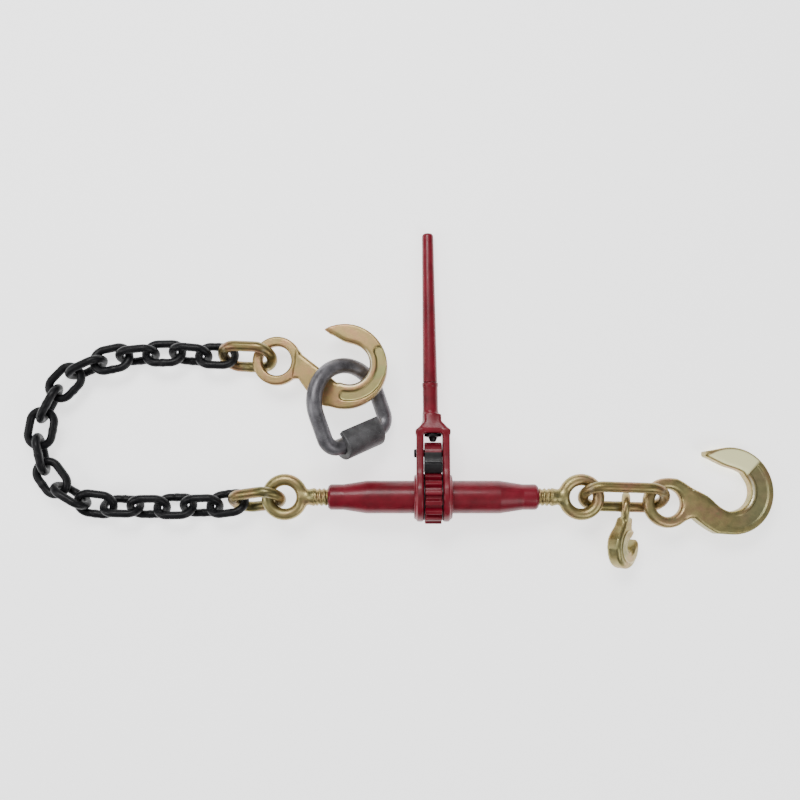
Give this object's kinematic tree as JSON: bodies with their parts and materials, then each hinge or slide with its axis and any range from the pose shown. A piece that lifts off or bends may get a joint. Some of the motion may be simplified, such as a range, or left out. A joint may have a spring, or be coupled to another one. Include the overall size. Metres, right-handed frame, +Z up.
{
  "type": "ratchet load binder with chain and hooks",
  "caption": "Ratchet load binder with eye bolts, coupling links, a chain to a cargo hook and weld-on lashing ring, and a grab hook and cargo hook at the other end.",
  "frame": {"origin": "on the floor, under the centre of the bounding box of the slack assembly as it lies", "axes": "+X along the barrel towards the hooks at its right end, +Y along the lever from the barrel to the handle tip, +Z up from the floor"},
  "size_m": [0.8524, 0.3814, 0.0706],
  "materials": {
    "steel": "satin",
    "red_paint": "gloss powder coat",
    "black": "satin black oxide",
    "black_chain": "gloss black",
    "dark_iron": "dark gunmetal",
    "yellow_zinc": "yellow zinc chromate"
  },
  "bodies": {
    "washers": {"washer_left": "black", "washer_right": "black"},
    "lever": {"lever_fork": "red_paint", "handle": "red_paint", "pawl_pin": "black"},
    "pawl": {"pawl": "black"},
    "plunger": {"plunger": "black", "plunger_spring": "steel"},
    "barrel": {"barrel": "red_paint", "ratchet_wheel": "red_paint"},
    "eye_bolt_left": {"screw_left": "yellow_zinc", "stop_pin_left": "steel"},
    "eye_bolt_right": {"screw_right": "yellow_zinc", "stop_pin_right": "steel"},
    "link_left": {"link_left": "yellow_zinc"},
    "chain_link_01": {"chain_link_01": "black_chain"},
    "chain_link_02": {"chain_link_02": "black_chain"},
    "chain_link_03": {"chain_link_03": "black_chain"},
    "chain_link_04": {"chain_link_04": "black_chain"},
    "chain_link_05": {"chain_link_05": "black_chain"},
    "chain_link_06": {"chain_link_06": "black_chain"},
    "chain_link_07": {"chain_link_07": "black_chain"},
    "chain_link_08": {"chain_link_08": "black_chain"},
    "chain_link_09": {"chain_link_09": "black_chain"},
    "chain_link_10": {"chain_link_10": "black_chain"},
    "chain_link_11": {"chain_link_11": "black_chain"},
    "chain_link_12": {"chain_link_12": "black_chain"},
    "chain_link_13": {"chain_link_13": "black_chain"},
    "chain_link_14": {"chain_link_14": "black_chain"},
    "chain_link_15": {"chain_link_15": "black_chain"},
    "chain_link_16": {"chain_link_16": "black_chain"},
    "chain_link_17": {"chain_link_17": "black_chain"},
    "chain_link_18": {"chain_link_18": "black_chain"},
    "link_upper": {"link_upper": "yellow_zinc"},
    "hook_end": {"hook_end": "yellow_zinc"},
    "lashing_ring": {"lashing_ring": "dark_iron"},
    "ring_clip": {"ring_clip": "dark_iron"},
    "link_long": {"link_long": "yellow_zinc"},
    "hook_grab": {"hook_grab": "yellow_zinc"},
    "hook_big": {"hook_big": "yellow_zinc"}
  },
  "joints": [
    {"name": "lever_swing", "type": "hinge", "parent": "washers", "child": "lever", "pos_m": [0.0371, -0.109, 0.0306], "axis": [1, 0, 0], "continuous": true},
    {"name": "barrel_spin", "type": "hinge", "parent": "washers", "child": "barrel", "pos_m": [0.0371, -0.109, 0.0306], "axis": [1, 0, 0], "range_deg": [-360, 5040]},
    {"name": "bolt_left_travel", "type": "slide", "parent": "washers", "child": "eye_bolt_left", "axis": [-1, 0, 0], "range_m": [-0.00501, 0.07001]},
    {"name": "bolt_right_travel", "type": "slide", "parent": "washers", "child": "eye_bolt_right", "axis": [1, 0, 0], "range_m": [-0.00501, 0.07001]},
    {"name": "pawl_rock", "type": "hinge", "parent": "lever", "child": "pawl", "pos_m": [0.0371, -0.06015, 0.02676], "axis": [1, 0, 0], "range_deg": [-9, 9]},
    {"name": "plunger_press", "type": "slide", "parent": "lever", "child": "plunger", "axis": [0, 0.9969, -0.0785], "range_m": [0, 0.002], "stiffness_N_per_m": 2000, "springref_m": -0.002},
    {"name": "link_left_swing", "type": "hinge", "parent": "eye_bolt_left", "child": "link_left", "pos_m": [-0.1489, -0.109, 0.0306], "axis": [-0.0487, -0.8702, 0.4903], "range_deg": [-14, 40]},
    {"name": "chain_link_01_swing", "type": "hinge", "parent": "link_left", "child": "chain_link_01", "pos_m": [-0.18765, -0.11672, 0.01495], "axis": [-0.1647, 0.626, 0.7623], "range_deg": [-40, 40]},
    {"name": "chain_link_02_swing", "type": "hinge", "parent": "chain_link_01", "child": "chain_link_02", "pos_m": [-0.21663, -0.12072, 0.01367], "axis": [0.0247, -0.7067, 0.7071], "range_deg": [-10, 40]},
    {"name": "chain_link_03_swing", "type": "hinge", "parent": "chain_link_02", "child": "chain_link_03", "pos_m": [-0.24679, -0.12121, 0.01421], "axis": [0.0123, -0.707, -0.7071], "range_deg": [-40, 40]},
    {"name": "chain_link_04_swing", "type": "hinge", "parent": "chain_link_03", "child": "chain_link_04", "pos_m": [-0.27689, -0.12164, 0.01421], "axis": [-0.0456, 0.6691, -0.7417], "range_deg": [-40, 6]},
    {"name": "chain_link_05_swing", "type": "hinge", "parent": "chain_link_04", "child": "chain_link_05", "pos_m": [-0.30692, -0.12154, 0.01639], "axis": [0.0296, 0.8475, 0.5299], "range_deg": [-40, 40]},
    {"name": "chain_link_06_swing", "type": "hinge", "parent": "chain_link_05", "child": "chain_link_06", "pos_m": [-0.33701, -0.1203, 0.01606], "axis": [-0.0054, -0.426, 0.9047], "range_deg": [-2, 40]},
    {"name": "chain_link_07_swing", "type": "hinge", "parent": "chain_link_06", "child": "chain_link_07", "pos_m": [-0.3667, -0.11556, 0.01818], "axis": [-0.5072, -0.8441, -0.1736], "range_deg": [-40, 40]},
    {"name": "chain_link_08_swing", "type": "hinge", "parent": "chain_link_07", "child": "chain_link_08", "pos_m": [-0.39179, -0.098, 0.01785], "axis": [-0.002, 0.0027, -1], "range_deg": [-40, 2]},
    {"name": "chain_link_09_swing", "type": "hinge", "parent": "chain_link_08", "child": "chain_link_09", "pos_m": [-0.40801, -0.07205, 0.01797], "axis": [0.9709, 0.2064, -0.1219], "range_deg": [-40, 40]},
    {"name": "chain_link_10_swing", "type": "hinge", "parent": "chain_link_09", "child": "chain_link_10", "pos_m": [-0.4122, -0.04168, 0.01795], "axis": [0.0853, -0.0182, 0.9962], "range_deg": [-2, 40]},
    {"name": "chain_link_11_swing", "type": "hinge", "parent": "chain_link_10", "child": "chain_link_11", "pos_m": [-0.40428, -0.01212, 0.01801], "axis": [-0.8796, 0.4677, 0.0872], "range_deg": [-40, 40]},
    {"name": "chain_link_12_swing", "type": "hinge", "parent": "chain_link_11", "child": "chain_link_12", "pos_m": [-0.38863, 0.01392, 0.018], "axis": [-0.0078, -0.0081, -0.9999], "range_deg": [-40, 2]},
    {"name": "chain_link_13_swing", "type": "hinge", "parent": "chain_link_12", "child": "chain_link_13", "pos_m": [-0.3665, 0.03468, 0.0176], "axis": [0.4101, -0.8794, 0.2419], "range_deg": [-40, 40]},
    {"name": "chain_link_14_swing", "type": "hinge", "parent": "chain_link_13", "child": "chain_link_14", "pos_m": [-0.33807, 0.04578, 0.01766], "axis": [-0.0362, 0.342, 0.939], "range_deg": [-2, 40]},
    {"name": "chain_link_15_swing", "type": "hinge", "parent": "chain_link_14", "child": "chain_link_15", "pos_m": [-0.30826, 0.05087, 0.01631], "axis": [-0.0923, 0.8781, -0.4695], "range_deg": [-40, 40]},
    {"name": "chain_link_16_swing", "type": "hinge", "parent": "chain_link_15", "child": "chain_link_16", "pos_m": [-0.27823, 0.05345, 0.01652], "axis": [-0.0138, -0.545, -0.8383], "range_deg": [-40, 6]},
    {"name": "chain_link_17_swing", "type": "hinge", "parent": "chain_link_16", "child": "chain_link_17", "pos_m": [-0.24812, 0.0535, 0.01553], "axis": [-0.0714, -0.816, 0.5736], "range_deg": [-40, 40]},
    {"name": "chain_link_18_swing", "type": "hinge", "parent": "chain_link_17", "child": "chain_link_18", "pos_m": [-0.21815, 0.05031, 0.01568], "axis": [0.0254, 0.5873, 0.809], "range_deg": [-40, 40]},
    {"name": "link_upper_swing", "type": "hinge", "parent": "chain_link_18", "child": "link_upper", "pos_m": [-0.18805, 0.04954, 0.01547], "axis": [0.1448, 0.7664, -0.6258], "range_deg": [-40, 40]},
    {"name": "hook_end_swing", "type": "hinge", "parent": "link_upper", "child": "hook_end", "pos_m": [-0.14464, 0.04758, 0.02635], "axis": [-0.058, 0.0784, 0.9952], "range_deg": [-22, 10]},
    {"name": "lashing_ring_swing", "type": "hinge", "parent": "hook_end", "child": "lashing_ring", "pos_m": [-0.0564, 0.03999, 0.02981], "axis": [-0.058, 0.0784, 0.9952], "range_deg": [-40, 30]},
    {"name": "ring_clip_turn", "type": "hinge", "parent": "lashing_ring", "child": "ring_clip", "pos_m": [-0.04572, -0.04325, 0.0325], "axis": [0.7456, 0.3165, -0.5864], "range_deg": [-40, 60]},
    {"name": "link_long_swing", "type": "hinge", "parent": "eye_bolt_right", "child": "link_long", "pos_m": [0.2231, -0.109, 0.0306], "axis": [-0.0187, -0.7714, 0.6361], "range_deg": [-30, 40]},
    {"name": "hook_grab_swing", "type": "hinge", "parent": "link_long", "child": "hook_grab", "pos_m": [0.25068, -0.12149, 0.01595], "axis": [0.9995, -0.0314, -0.0087], "range_deg": [-8, 60]},
    {"name": "hook_big_swing", "type": "hinge", "parent": "link_long", "child": "hook_big", "pos_m": [0.29668, -0.11053, 0.0306], "axis": [0.1133, 0.1287, 0.9852], "range_deg": [-40, 6]}
  ],
  "couplings": [
    {"joint": "bolt_left_travel", "follows": "barrel_spin", "m_per_rad": 0.00079577},
    {"joint": "bolt_right_travel", "follows": "barrel_spin", "m_per_rad": 0.00079577}
  ]
}
